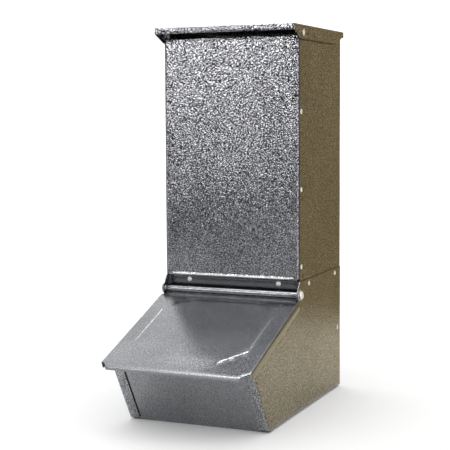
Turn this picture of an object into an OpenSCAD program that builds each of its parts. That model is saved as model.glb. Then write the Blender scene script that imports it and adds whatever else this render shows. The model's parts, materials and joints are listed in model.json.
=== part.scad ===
// Gravity poultry feeder in folded sheet steel: a tall feed hopper over an open trough,
// with a hinged trough lid in front and a roof that tips forward for filling.
// Millimetres. X is across, -Y is the front, Z is up from the floor.
// The origin is at floor level, in the middle of the whole feeder's footprint.

/* [Sheet] */
// Thickness of every folded sheet
sheet_t = 1; // [0.8:0.1:1.5]
// Inside radius of the folds
fold_r = 1.5; // [1:0.1:2.5]

/* [Hopper] */
// Width across the hopper's side panels
hopper_w = 229; // [180:1:300]
// Depth from the hopper's face to its back
hopper_d = 205; // [165:1:260]
// Height from the floor to the top of the roof
overall_h = 604; // [480:1:760]
// Width of the front panel's folded sides
front_flange = 18; // [15:1:30]
// How far the front panel's foot steps back behind its face
foot_step = 8; // [7.5:0.5:12]
// Height of that foot, below the seam
foot_h = 18; // [16:0.5:24]

/* [Base] */
// Height of the seam between the hopper and the base
seam_h = 208; // [170:1:255]
// Depth of the base at the floor
base_d = 334; // [300:1:410]
// Lean of the trough's front from upright, in degrees
trough_lean = 30.8; // [20:0.1:37]
// Width of the base's front flanges
base_flange = 17; // [12:1:25]
// Overlap of the hopper's side panels inside the base
lap = 16; // [14:1:24]
// Gap from the floor to the lower edges of the side and back panels
skirt_gap = 3; // [2:0.5:6]
// Width of the back panel's folded sides inside the base
rear_flange = 32; // [26:1:45]
// Height of the trough pan's upturned sides and back
pan_flange = 15; // [8:1:30]
// Run of the feed-saving lip at the trough's front
lip_run = 11; // [7:1:18]
// Drop of that lip's turned-down edge
lip_drop = 6; // [5:0.5:10]
// How far the pan's front stands back from the base flanges at its top
pan_gap = 1.5; // [0.5:0.1:3]

/* [Feed path] */
// Height of the gap under the baffle
throat_h = 66; // [45:1:90]
// Distance from the chute's foot to the baffle
throat_run = 42; // [30:1:60]
// Depth of the chute's folded top and foot
chute_flange = 16; // [14:1:24]
// Height of the chute's top edge below the seam
chute_drop = 16; // [12:1:30]

/* [Trough lid] */
// Slope of the closed lid, in degrees
lid_slope = 20.2; // [14:0.1:26]
// How far the lid reaches past the trough's front, along the slope
lid_overhang = 30; // [15:1:45]
// How far the lid's sides stand out past the base
lid_side = 4; // [3:0.5:7]
// Depth of the lid's side flanges
lid_flange = 13; // [8:0.5:20]
// Depth of the lid's front flange
lid_lip = 5.5; // [4:0.5:10]
// Size of the lid's cut front corners
lid_chamfer = 16; // [8:1:30]
// Height of the embossed panel
emboss_h = 1; // [0.5:0.1:1.5]
// Width of the margin beside and behind the embossed panel
emboss_margin = 24.5; // [20:0.5:40]
// Width of the margin in front of the embossed panel
emboss_front = 33; // [20:1:60]
// Size of the embossed panel's cut corners
emboss_cut = 37; // [20:1:50]

/* [Hinge] */
// Diameter of the hinge rod
rod_d = 8; // [6:0.1:10]
// Running clearance around the rod inside the lid's rolled edge
rod_fit = 0.05; // [0.02:0.01:0.1]
// Height of the hinge axis below the seam
hinge_drop = 21; // [19:0.5:28]
// Distance of the hinge axis in front of the hopper's face
hinge_fwd = 2; // [1:0.5:5]
// Outside diameter of the hinge washers
washer_d = 20; // [16:1:24]
// Thickness of the hinge washers
washer_t = 1.2; // [0.8:0.1:2]

/* [Roof] */
// Reach of the roof in front of the hopper's face
roof_front = 28; // [20:1:40]
// Reach of the roof behind the hopper
roof_rear = 6.5; // [5:0.5:15]
// Reach of the roof past the hopper's sides
roof_side = 3; // [3:0.1:6]
// Depth of the roof's side flanges
roof_flange = 23; // [20:1:35]
// Depth of the roof's front fascia and rear lip
fascia_h = 10; // [7:0.5:12]
// Distance of the roof's pivots behind the hopper's face
pivot_in = 12; // [10:0.5:18]
// Distance of the roof's pivots below the top of the roof
pivot_drop = 12; // [12:0.5:18]
// Diameter of the pivot rivets
pivot_d = 5; // [4:0.1:6]

/* [Fasteners] */
// Diameter of the rivets
rivet_d = 4; // [3.2:0.1:5]
// Number of rivets down each side of the hopper
side_rivets = 3; // [2:1:6]
// Distance of the foot's rivets in from the hopper's sides
foot_rivet_in = 37.5; // [20:0.5:60]
// Diameter of the two wall-hanging holes
wall_hole_d = 7; // [5:0.5:10]
// Distance between the wall-hanging holes
wall_hole_pitch = 150; // [100:5:200]

/* [Hidden] */
$fn = 48;
fold_steps = 6;
left = -1;
right = 1;
paint = "slategray";
zinc = "silver";

// Clearances
part_gap = 0.5;       // between a closed lid and what it covers
hole_gap = 0.1;       // around a shank that doesn't turn
pivot_fit = 0.05;     // around a pivot rivet in the roof
pivot_play = 0.35;    // beside the roof's flange at its pivots
inner_gap = 0.3;      // beside the plates inside the hopper
edge_set = 1.5;       // from the hopper's face back to its side panels' edges

// Folds, and half widths of the main pieces
half_t = sheet_t / 2;
fold_mid = fold_r + half_t;
fold_out = fold_r + sheet_t;
fold_lead = fold_out + 1;
hopper_x = hopper_w / 2;
base_x = hopper_x + sheet_t;
lid_x = base_x + lid_side;
roof_x = hopper_x + roof_side;
plate_x = hopper_x - fold_out - inner_gap;

// Hinge
hinge_y = -hopper_d - hinge_fwd;
hinge_z = seam_h - hinge_drop;
curl_in = rod_d / 2 + rod_fit;
curl_mid = curl_in + half_t;
curl_out = curl_in + sheet_t;
curl_x = hopper_x - sheet_t - 2 * inner_gap;
curl_start = 215;
ear_r = washer_d / 2 + 1;
ear_end = 120;
notch_v = ear_r + 2.5;
cap_r = rod_d / 2 + 3;
cap_h = 5.5;
cap_wall = 1.3;
rod_x = base_x + washer_t + cap_h - cap_wall - hole_gap;

// A point on the lid's section: v down the slope from the hinge axis, n square to the lid
function lid_point(v, n) = [
  hinge_y - v * cos(lid_slope) - n * sin(lid_slope),
  hinge_z - v * sin(lid_slope) + n * cos(lid_slope)
];

// The base's front leans forward; its top edge runs under the lid by part_gap
lean = tan(trough_lean);
edge_n = -curl_out - part_gap;
lip_v = (base_d + lid_point(0, edge_n)[0] + lean * lid_point(0, edge_n)[1])
  / (cos(lid_slope) + lean * sin(lid_slope));
lip_z = lid_point(lip_v, edge_n)[1];
lid_len = lip_v + lid_overhang;
ear_v = sqrt(ear_r * ear_r - edge_n * edge_n);
ear_start = 180 + lid_slope - atan2(edge_n, ear_v);
function front_y(z) = -base_d - z * lean;

// Roof
roof_top = overall_h - half_t;
roof_face = -hopper_d - roof_front;
pivot_y = -hopper_d + pivot_in;
pivot_z = overall_h - pivot_drop;
wrap_top = overall_h - sheet_t - part_gap;
front_top = pivot_z - 5;
flange_top = pivot_z - 9;
roof_nose = 30;
roof_tail = 33;

// Rivets
rivet_in = 10;
head_r = rivet_d;
head_h = rivet_d * 0.4;
tail_r = rivet_d * 0.72;
tail_h = 2.5;
mandrel_r = rivet_d * 0.27;
rivet_hole = rivet_d + 2 * hole_gap;
first_rivet_z = seam_h + 22;
rivet_pitch = (pivot_z - first_rivet_z) / side_rivets;
side_rivet_z = [for (i = [0:side_rivets - 1]) first_rivet_z + i * rivet_pitch];
lap_rivet_y = [-31.5, -hopper_d + 43.5];
lap_rivet_z = seam_h - lap / 2;
rear_rivet = [-17, 105];
foot_rivet_x = hopper_x - foot_rivet_in;
foot_rivet_z = seam_h - 6;
chute_rivet_x = [left * foot_rivet_x, 0, right * foot_rivet_x];
chute_rivet_z = seam_h - chute_drop - 8;
wall_hole_z = overall_h - 44;

// Feed path
foot_y = -hopper_d + foot_step;
baffle_y = foot_y + sheet_t + half_t;
baffle_hem = 8;
chute_end = foot_y + throat_run;
chute_top = seam_h - chute_drop;

// ---- Folded sheet ----

// Unit vector from a to b
function towards(a, b) = (b - a) / norm(b - a);

// Points of a round fold at corner b, on the way from a to c
function fold(a, b, c) =
  let (u = towards(b, a), v = towards(b, c), half = acos(u * v) / 2,
       mid = towards([0, 0], u + v), o = b + mid * fold_mid / sin(half),
       p = b + u * fold_mid / tan(half) - o, q = b + v * fold_mid / tan(half) - o,
       start = atan2(p[1], p[0]), turn = atan2(p[0] * q[1] - p[1] * q[0], p * q))
  [for (i = [0:fold_steps]) let (s = start + turn * i / fold_steps) o + fold_mid * [cos(s), sin(s)]];

// A path with its corners folded
function folded(p) = [
  p[0],
  for (i = [1:len(p) - 2]) each fold(p[i - 1], p[i], p[i + 1]),
  p[len(p) - 1]
];

// A path moved sideways by d
function beside(p, d) = [
  for (i = [0:len(p) - 1])
    let (u = i == 0 ? towards(p[0], p[1]) : towards(p[i - 1], p[i]),
         v = i == len(p) - 1 ? u : towards(p[i], p[i + 1]), m = towards([0, 0], u + v))
    p[i] + d / (m * u) * [-m[1], m[0]]
];

// Section of a sheet whose middle follows the path p
module strip(p) {
  back = beside(p, -half_t);
  polygon(concat(beside(p, half_t), [for (i = [len(p) - 1:-1:0]) back[i]]));
}

// A Y-Z section extruded across X, centred
module across(w) rotate([90, 0, 90]) linear_extrude(w, center = true) children();

// An X-Z section extruded from y0 back to y1
module along(y0, y1) translate([0, y1, 0]) rotate([90, 0, 0]) linear_extrude(y1 - y0) children();

// The same piece on both sides
module both_sides() {
  children();
  mirror([1, 0, 0]) children();
}

// A hole right through along X, at [y, z]
module side_hole(p, d) translate([0, p[0], p[1]]) rotate([0, 90, 0])
  cylinder(d = d, h = 3 * hopper_w, center = true);

// A hole along Y through whatever stands at y
module face_hole(x, y, z, d) translate([x, y, z]) rotate([90, 0, 0]) cylinder(d = d, h = 10, center = true);

// ---- Hopper ----

module hopper_wrap() {
  side_x = hopper_x - half_t;
  side_edge = -hopper_d + edge_set;
  color(paint) difference() {
    translate([0, 0, skirt_gap]) linear_extrude(wrap_top - skirt_gap) strip(folded([
      [-side_x, side_edge], [-side_x, -half_t], [side_x, -half_t], [side_x, side_edge]
    ]));
    translate([-hopper_w, -hopper_d, 0]) cube([2 * hopper_w, hopper_d - rear_flange, seam_h - lap]);
    across(2 * hopper_w) polygon([
      [-hopper_d, front_top], [side_edge, front_top],
      [side_edge + wrap_top - front_top, wrap_top], [side_edge + wrap_top - front_top, overall_h],
      [-hopper_d, overall_h]
    ]);
    for (z = side_rivet_z) side_hole([-hopper_d + rivet_in, z], rivet_hole);
    for (y = lap_rivet_y) side_hole([y, lap_rivet_z], rivet_hole);
    side_hole(rear_rivet, rivet_hole);
    side_hole([pivot_y, pivot_z], pivot_d + 2 * hole_gap);
    for (x = chute_rivet_x) face_hole(x, 0, chute_rivet_z, rivet_hole);
    for (s = [left, right]) face_hole(s * wall_hole_pitch / 2, 0, wall_hole_z, wall_hole_d);
  }
}

module hopper_front() {
  side_x = hopper_x - sheet_t - half_t;
  face_y = -hopper_d + half_t;
  flange_y = -hopper_d + front_flange;
  color(paint) difference() {
    union() {
      translate([0, 0, seam_h + fold_lead]) linear_extrude(front_top - seam_h - fold_lead) strip(folded([
        [-side_x, flange_y], [-side_x, face_y], [side_x, face_y], [side_x, flange_y]
      ]));
      across(2 * (hopper_x - sheet_t - fold_out)) strip(folded([
        [face_y, seam_h + fold_lead], [face_y, seam_h + half_t],
        [foot_y + half_t, seam_h + half_t], [foot_y + half_t, seam_h - foot_h]
      ]));
    }
    translate([-hopper_w, -hopper_d + fold_out, flange_top]) cube([2 * hopper_w, front_flange, overall_h]);
    for (z = side_rivet_z) side_hole([-hopper_d + rivet_in, z], rivet_hole);
    for (s = [left, right]) face_hole(s * foot_rivet_x, foot_y, foot_rivet_z, rivet_hole);
  }
}

module feed_baffle() color(paint) difference() {
  across(2 * (hopper_x - sheet_t - inner_gap)) strip(folded([
    [baffle_y, seam_h - 2], [baffle_y, throat_h + half_t], [baffle_y + baffle_hem, throat_h + half_t]
  ]));
  for (s = [left, right]) face_hole(s * foot_rivet_x, baffle_y, foot_rivet_z, rivet_hole);
}

module feed_chute() color(paint) difference() {
  across(2 * plate_x) strip(folded([
    [-sheet_t - half_t, chute_top], [-sheet_t - half_t, chute_top - chute_flange],
    [chute_end + chute_flange, sheet_t + half_t], [chute_end, sheet_t + half_t]
  ]));
  for (x = chute_rivet_x) face_hole(x, -sheet_t, chute_rivet_z, rivet_hole);
}

// ---- Base ----

module trough_pan() {
  flat_x = hopper_x - fold_lead;
  wall_y = -sheet_t - half_t;
  top_z = lip_z - 1.5 - half_t;
  foot = front_y(half_t) + 1.5 * sheet_t / cos(trough_lean);
  top = front_y(top_z) + 1.5 * sheet_t / cos(trough_lean) + pan_gap;
  color(paint) {
    across(2 * flat_x) strip(folded([
      [wall_y, pan_flange], [wall_y, half_t], [foot, half_t], [top, top_z],
      [top + lip_run, top_z], [top + lip_run, top_z - lip_drop]
    ]));
    both_sides() along(-base_d + 3 * fold_out, -rear_flange - 2 * fold_out) strip(folded([
      [flat_x, half_t], [hopper_x - half_t, half_t], [hopper_x - half_t, pan_flange]
    ]));
  }
}

// Outline of a base side: upright back, seam, ear around the hinge, slope and leaning front
module base_outline() polygon([
  [-fold_out, skirt_gap],
  [-fold_out, seam_h],
  [-hopper_d + 1, seam_h],
  for (i = [0:2 * fold_steps]) let (s = ear_end + (ear_start - ear_end) * i / (2 * fold_steps))
    [hinge_y + ear_r * cos(s), hinge_z + ear_r * sin(s)],
  [front_y(lip_z), lip_z],
  [front_y(skirt_gap), skirt_gap]
]);

module base_side(s) {
  fold_zone = 12;
  side_x = base_x - half_t;
  mirror([s < 0 ? 1 : 0, 0, 0]) color(paint) difference() {
    intersection() {
      across(3 * hopper_w) base_outline();
      union() {
        translate([hopper_x, 0, 0]) rotate([90, 0, 90]) linear_extrude(sheet_t) polygon([
          [0, 0], [0, seam_h], [-2 * base_d, seam_h],
          [front_y(seam_h) + fold_zone / cos(trough_lean), seam_h],
          [front_y(0) + fold_zone / cos(trough_lean), 0]
        ]);
        translate([0, -base_d, 0]) rotate([trough_lean, 0, 0]) translate([0, 0, -base_d / 2])
          linear_extrude(2 * base_d) strip(folded([
            [side_x, fold_zone], [side_x, half_t], [base_x - base_flange, half_t]
          ]));
      }
    }
    side_hole([hinge_y, hinge_z], rod_d + 2 * hole_gap);
    for (y = lap_rivet_y) side_hole([y, lap_rivet_z], rivet_hole);
    side_hole(rear_rivet, rivet_hole);
  }
}

module base_side_left() base_side(left);
module base_side_right() base_side(right);

// ---- Trough lid, drawn flat with its hinge axis on X and its front towards -Y ----

module octagon(x, v0, v1, cut) polygon([
  [x - cut, -v0], [x, -v0 - cut], [x, -v1 + cut], [x - cut, -v1],
  [cut - x, -v1], [-x, -v1 + cut], [-x, -v0 - cut], [cut - x, -v0]
]);

module flat_lid() {
  flat_x = lid_x - fold_lead;
  flat_v = lid_len - fold_lead;
  corner = lid_x + lid_len - lid_chamfer;
  rim = sheet_t;
  panel_x = lid_x - emboss_margin;
  panel_v = lid_len - emboss_front;
  difference() {
    union() {
      across(2 * curl_x) {
        difference() {
          circle(r = curl_out);
          circle(r = curl_in);
          polygon([[0, 0], 3 * curl_out * [cos(curl_start), sin(curl_start)], [0, -3 * curl_out]]);
        }
        translate([-notch_v, -curl_out]) square([notch_v, sheet_t]);
      }
      translate([0, 0, -curl_out]) linear_extrude(sheet_t) polygon([
        [-flat_x, -notch_v], [flat_x, -notch_v], [flat_x, flat_x - corner],
        [corner - flat_v, -flat_v], [flat_v - corner, -flat_v], [-flat_x, flat_x - corner]
      ]);
      both_sides() along(flat_x - corner, -notch_v) strip(folded([
        [flat_x, -curl_mid], [lid_x - half_t, -curl_mid], [lid_x - half_t, -curl_in - lid_flange]
      ]));
      across(2 * (corner - flat_v)) strip(folded([
        [-flat_v, -curl_mid], [half_t - lid_len, -curl_mid], [half_t - lid_len, -curl_in - lid_lip]
      ]));
      translate([0, 0, -curl_mid]) linear_extrude(half_t + emboss_h)
        octagon(panel_x, emboss_margin, panel_v, emboss_cut);
    }
    translate([0, 0, -curl_out - 1]) linear_extrude(emboss_h + 1)
      octagon(panel_x - rim, emboss_margin + rim, panel_v - rim, emboss_cut - rim * (2 - sqrt(2)));
  }
}

module trough_lid() color(paint) translate([0, hinge_y, hinge_z]) rotate([lid_slope, 0, 0]) flat_lid();

module hinge_rod() color(zinc) rotate([0, 90, 0]) translate([-hinge_z, hinge_y, 0])
  cylinder(d = rod_d, h = 2 * rod_x, center = true);

module hinge_washers() color(zinc) both_sides() translate([base_x, hinge_y, hinge_z]) rotate([0, 90, 0])
  difference() {
    cylinder(d = washer_d, h = washer_t);
    translate([0, 0, -1]) cylinder(d = rod_d + 2 * hole_gap, h = washer_t + 2);
  }

// Domed caps pushed on the rod's ends
module hinge_caps() color(zinc) both_sides() translate([base_x + washer_t, hinge_y, hinge_z])
  rotate([0, 90, 0]) difference() {
    union() {
      cylinder(r = cap_r + 1.5, h = 1);
      rotate_extrude() polygon([
        [0, 0], [cap_r, 0],
        for (i = [0:fold_steps]) let (s = 90 * i / fold_steps) [cap_r * cos(s), 2 + (cap_h - 2) * sin(s)]
      ]);
    }
    translate([0, 0, -1]) cylinder(d = rod_d + 2 * hole_gap, h = cap_h - cap_wall + 1);
  }

// ---- Roof ----

module roof_lid() {
  flat_x = roof_x - fold_lead;
  flat_front = roof_face + fold_lead;
  flat_rear = roof_rear - fold_lead;
  front_mid = roof_face + half_t;
  rear_mid = roof_rear - half_t;
  lip_bottom = overall_h - fascia_h;
  color(paint) difference() {
    union() {
      translate([-flat_x, flat_front, overall_h - sheet_t])
        cube([2 * flat_x, flat_rear - flat_front, sheet_t]);
      across(2 * flat_x) {
        strip(folded([[flat_front, roof_top], [front_mid, roof_top], [front_mid, lip_bottom]]));
        strip(folded([[flat_rear, roof_top], [rear_mid, roof_top], [rear_mid, lip_bottom]]));
      }
      intersection() {
        both_sides() along(roof_face, roof_rear) strip(folded([
          [flat_x, roof_top], [roof_x - half_t, roof_top], [roof_x - half_t, overall_h - roof_flange]
        ]));
        across(3 * hopper_w) polygon([
          [roof_face, overall_h], [roof_face, lip_bottom],
          [roof_face + roof_nose, overall_h - roof_flange], [-roof_tail, overall_h - roof_flange],
          [-edge_set, lip_bottom], [roof_rear, lip_bottom], [roof_rear, overall_h]
        ]);
      }
    }
    side_hole([pivot_y, pivot_z], pivot_d + 2 * pivot_fit);
  }
}

module roof_spacers() color(zinc) both_sides() translate([hopper_x, pivot_y, pivot_z]) rotate([0, 90, 0])
  difference() {
    cylinder(d = 2 * pivot_d + 1, h = roof_side - sheet_t - pivot_play);
    translate([0, 0, -1]) cylinder(d = pivot_d + 2 * hole_gap, h = roof_side + 2);
  }

// ---- Rivets ----

// A blind rivet: domed head above z = 0, shank through grip, set tail below it
module rivet(grip, d = rivet_d, r = head_r, tail = tail_r) {
  head_arc = (r * r + head_h * head_h) / (2 * head_h);
  color(zinc) rotate_extrude() polygon([
    [0, -grip - tail_h], [tail * 0.8, -grip - tail_h], [tail, -grip - tail_h / 2], [tail, -grip],
    [d / 2, -grip], [d / 2, 0], [r, 0],
    for (i = [1:fold_steps]) let (x = r + (mandrel_r - r) * i / fold_steps)
      [x, head_h - head_arc + sqrt(head_arc * head_arc - x * x)],
    [mandrel_r, head_h / 2], [0, head_h / 2]
  ]);
}

// A rivet on the outside of side s, its head's seat at x
module side_rivet(s, x, p, grip) translate([s * x, p[0], p[1]]) rotate([0, s * 90, 0]) rivet(grip);

module front_rivets(s) for (z = side_rivet_z)
  side_rivet(s, hopper_x, [-hopper_d + rivet_in, z], 2 * sheet_t);
module front_rivets_left() front_rivets(left);
module front_rivets_right() front_rivets(right);

module lap_rivets(s) for (y = lap_rivet_y) side_rivet(s, base_x, [y, lap_rivet_z], 2 * sheet_t);
module lap_rivets_left() lap_rivets(left);
module lap_rivets_right() lap_rivets(right);

module rear_rivets() for (s = [left, right]) side_rivet(s, base_x, rear_rivet, 2 * sheet_t);

module baffle_rivets() for (s = [left, right])
  translate([s * foot_rivet_x, foot_y, foot_rivet_z]) rotate([90, 0, 0]) rivet(2 * sheet_t);

module chute_rivets() for (x = chute_rivet_x)
  translate([x, 0, chute_rivet_z]) rotate([-90, 0, 0]) rivet(2 * sheet_t);

module roof_pivots() both_sides() translate([roof_x + pivot_play, pivot_y, pivot_z]) rotate([0, 90, 0])
  rivet(roof_side + pivot_play + sheet_t, pivot_d, pivot_d * 1.1, pivot_d * 0.68);

// ---- Assembly ----

// The origin is half way between the lid's rounded front edge and the roof's rear edge
lid_front = lid_point(lid_len - fold_out, -curl_in - fold_out)[0] - fold_out;
module placed() translate([0, -(lid_front + roof_rear) / 2, 0]) children();

placed() hopper_wrap();
placed() hopper_front();
placed() feed_baffle();
placed() feed_chute();
placed() trough_pan();
placed() base_side_left();
placed() base_side_right();
placed() trough_lid();
placed() roof_lid();
placed() hinge_rod();
placed() hinge_washers();
placed() hinge_caps();
placed() roof_pivots();
placed() roof_spacers();
placed() front_rivets_left();
placed() front_rivets_right();
placed() lap_rivets_left();
placed() lap_rivets_right();
placed() rear_rivets();
placed() baffle_rivets();
placed() chute_rivets();
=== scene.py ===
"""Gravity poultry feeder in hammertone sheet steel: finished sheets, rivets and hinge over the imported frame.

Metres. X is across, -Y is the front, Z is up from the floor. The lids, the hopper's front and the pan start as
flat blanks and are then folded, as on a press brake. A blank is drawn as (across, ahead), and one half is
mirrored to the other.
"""
import json
from math import acos, atan2, copysign, cos, hypot, pi, radians, sin, sqrt, tan

import bmesh
import bpy
from mathutils import Matrix, Vector, noise


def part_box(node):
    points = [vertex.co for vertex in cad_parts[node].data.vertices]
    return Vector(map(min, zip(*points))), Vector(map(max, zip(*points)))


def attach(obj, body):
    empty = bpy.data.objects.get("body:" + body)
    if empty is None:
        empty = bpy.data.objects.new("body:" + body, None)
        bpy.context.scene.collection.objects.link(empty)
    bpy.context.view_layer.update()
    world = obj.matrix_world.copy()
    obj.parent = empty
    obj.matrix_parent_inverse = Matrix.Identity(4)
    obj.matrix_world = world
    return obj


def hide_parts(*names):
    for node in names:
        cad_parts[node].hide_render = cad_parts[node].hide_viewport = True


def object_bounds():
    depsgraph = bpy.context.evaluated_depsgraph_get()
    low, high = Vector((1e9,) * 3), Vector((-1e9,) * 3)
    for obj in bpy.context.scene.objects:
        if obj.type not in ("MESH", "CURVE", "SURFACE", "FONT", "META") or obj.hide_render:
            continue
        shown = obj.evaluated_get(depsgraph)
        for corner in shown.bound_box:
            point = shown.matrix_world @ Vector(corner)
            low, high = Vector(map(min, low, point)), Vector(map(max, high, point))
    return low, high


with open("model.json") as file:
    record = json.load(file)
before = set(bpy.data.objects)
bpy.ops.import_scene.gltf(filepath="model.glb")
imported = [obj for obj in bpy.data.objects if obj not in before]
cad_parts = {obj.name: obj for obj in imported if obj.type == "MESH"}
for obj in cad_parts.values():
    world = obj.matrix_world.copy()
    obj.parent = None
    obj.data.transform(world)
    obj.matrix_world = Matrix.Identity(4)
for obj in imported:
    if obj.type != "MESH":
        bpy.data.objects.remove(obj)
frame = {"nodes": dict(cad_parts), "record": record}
cad_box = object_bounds()
MM = 0.001

# ---------------------------------------------------------------- sizes that the pieces share

SHEET = 1 * MM                # thickness of every sheet
HALF = SHEET / 2
FOLD = 2 * MM                 # radius of the folds, at the middle of the sheet
FOLD_END = FOLD + HALF + MM   # from a fold's outer face to where the sheet is flat for certain
GRID = 14 * MM                # spacing of the cuts that let a flat sheet bend a little
FOLD_CUTS = 5                 # facets in a square fold
WAVE = 0.14 * MM              # how far a flat sheet wanders from true
WAVE_LENGTH = 110 * MM
EDGE_FADE = 7 * MM            # the wandering dies away this close to the feeder's box
RIM = 0.2 * MM                # rounding of the sheets' cut edges
SLACK = 0.03 * MM             # the sheets are this much thinner, so that they don't rub where they lap
SAME_POINT = 1e-6             # points closer than this are one
LID_SLOPE = radians(20.2)     # fall of the closed trough lid
TROUGH_LEAN = radians(30.8)   # lean of the trough's front from upright

JOINTS = {joint["name"]: Vector(joint["pos_m"]) for joint in frame["record"]["behaviour"]["joints"]}
LID_HINGE = JOINTS["trough_lid_hinge"]
ROOF_HINGE = JOINTS["roof_hinge"]
LOW, HIGH = cad_box                            # corners of the whole feeder's box
BASE_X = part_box("base_side_right")[1].x        # outer face of the base's sides
HOPPER_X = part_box("hopper_wrap")[1].x          # outer face of the hopper's sides
BACK_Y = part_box("hopper_wrap")[1].y            # outer face of the back
FACE_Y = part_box("hopper_front")[0].y           # outer face of the hopper's front
FOOT_Y = FACE_Y + 8 * MM                       # outer face of the foot, which is stepped back from it
LID_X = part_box("trough_lid")[1].x              # outer face of the lid's side flanges
ROOF_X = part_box("roof_lid")[1].x               # outer face of the roof's side flanges
SEAM_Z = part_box("base_side_right")[1].z        # seam between the hopper and the base


# ---------------------------------------------------------------- nodes

def node(tree, kind, inputs=None, **settings):
    """Adds a node. inputs gives a value or a socket for each input, by its name or its number."""
    made = tree.nodes.new(kind)
    for name, value in settings.items():
        setattr(made, name, value)
    for name, value in (inputs or {}).items():
        if isinstance(value, bpy.types.NodeSocket):
            tree.links.new(value, made.inputs[name])
        else:
            made.inputs[name].default_value = value
    return made


def maths(tree, operation, first, second=0.0):
    return node(tree, "ShaderNodeMath", {0: first, 1: second}, operation=operation).outputs[0]


def spread(tree, value, low, high, to_low=0.0, to_high=1.0):
    """Turns low..high smoothly into to_low..to_high."""
    return node(tree, "ShaderNodeMapRange", {"Value": value, "From Min": low, "From Max": high,
                                             "To Min": to_low, "To Max": to_high},
                interpolation_type="SMOOTHSTEP").outputs["Result"]


def blend(tree, share, first, second, blend_type="MIX"):
    """Mixes two colours."""
    mixed = node(tree, "ShaderNodeMix", data_type="RGBA", blend_type=blend_type)
    for socket, value in ((mixed.inputs[0], share), (mixed.inputs[6], first), (mixed.inputs[7], second)):
        if isinstance(value, bpy.types.NodeSocket):
            tree.links.new(value, socket)
        else:
            socket.default_value = value
    return mixed.outputs[2]


def grain(tree, place, scale, detail=2.0, roughness=0.5):
    """A noise of so many cells to the metre."""
    return node(tree, "ShaderNodeTexNoise", {"Vector": place, "Scale": scale, "Detail": detail,
                                             "Roughness": roughness}).outputs["Fac"]


def mapped(tree, place, **settings):
    """The places of a pattern, turned or scaled."""
    return node(tree, "ShaderNodeMapping", {"Vector": place, **settings}).outputs["Vector"]


def sprayed_share(tree, name):
    """A share that sprayed wrote at each point of the piece."""
    return node(tree, "ShaderNodeAttribute", attribute_name=name).outputs["Fac"]


def pointiness(tree):
    return node(tree, "ShaderNodeNewGeometry").outputs["Pointiness"]


def new_material(name):
    material = bpy.data.materials.new(name)
    material.use_nodes = True
    return material, material.node_tree, material.node_tree.nodes["Principled BSDF"]


# ---------------------------------------------------------------- finishes

# A pair of colours is the two tones between which a finish drifts from patch to patch.
VEIN = (0.006, 0.007, 0.010, 1), (0.012, 0.013, 0.018, 1)        # dark lines of the hammered marks
POOL = (0.62, 0.63, 0.66, 1), (0.70, 0.71, 0.74, 1)              # bright cells between them
EVEN = (0.235, 0.24, 0.25, 1), (0.27, 0.275, 0.285, 1)           # where the marks fade into one grey
# painted shade: the near-black that a piece's shade share blends into the enamel
PAINTED_SHADE_COLOUR = (0.02, 0.02, 0.023, 1)
# painted shade along the sharp edges
EDGE_SHADE = (0.03, 0.03, 0.033, 1)
ZINC_PLATE = (0.80, 0.79, 0.76, 1), (0.95, 0.94, 0.91, 1)
# painted shade in the zinc's hollows
ZINC_HOLLOW_SHADE = (0.16, 0.15, 0.14, 1)
# painted shade on the zinc, where a piece's shade share asks for it
ZINC_PAINTED_SHADE = (0.05, 0.048, 0.045, 1)
MARKS_PER_METRE = 660


def hammertone_paint():
    """Silver-grey hammered enamel: bright pooled cells between dark veins, with painted shade along the sharp
    edges and where a piece asks for it.
    """
    material, tree, shader = new_material("hammertone_paint")
    place = node(tree, "ShaderNodeTexCoord").outputs["Object"]
    marked = sprayed_share(tree, "hammer")
    turned_place = mapped(tree, place, Rotation=(0.5, 0.3, 0.8))
    height = grain(tree, turned_place, MARKS_PER_METRE, detail=0.4, roughness=0.4)
    pool = spread(tree, height, 0.515, 0.550)
    cloud = grain(tree, place, 9, detail=3.0)
    fine = grain(tree, place, 1500)

    wide_patch, patch = spread(tree, cloud, 0.3, 0.7), spread(tree, cloud, 0.35, 0.65)
    marks = blend(tree, pool, blend(tree, wide_patch, *VEIN), blend(tree, patch, *POOL))
    contrast = spread(tree, marked, 0.0, 1.0, 0.12, 1.0)
    colour = blend(tree, contrast, blend(tree, patch, *EVEN), marks)
    # painted shade, where the piece's share asks for it
    colour = blend(tree, sprayed_share(tree, "thin"), colour, PAINTED_SHADE_COLOUR)
    flake = spread(tree, fine, 0.3, 0.7, 0.86, 1.12)
    colour = blend(tree, 1.0, colour, flake, "MULTIPLY")
    # painted shade: the sharp edges are darkened, for the shade along the sheets' edges and laps
    edge = spread(tree, pointiness(tree), 0.55, 0.62, 0.0, 0.8)
    colour = blend(tree, edge, colour, EDGE_SHADE)
    tree.links.new(colour, shader.inputs["Base Color"])

    patchy = spread(tree, cloud, 0.3, 0.7, -0.02, 0.03)
    rough = maths(tree, "ADD", spread(tree, pool, 0, 1, 0.20, 0.14), patchy)
    tree.links.new(rough, shader.inputs["Roughness"])
    shader.inputs["Metallic"].default_value = 0.95
    shader.inputs["Coat Weight"].default_value = 0.06
    shader.inputs["Coat Roughness"].default_value = 0.12
    strength = spread(tree, marked, 0.0, 1.0, 0.25, 1.0)
    relief = node(tree, "ShaderNodeBump", {"Strength": strength, "Distance": 0.5 * MM, "Height": height})
    tree.links.new(relief.outputs["Normal"], shader.inputs["Normal"])
    return material


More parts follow.
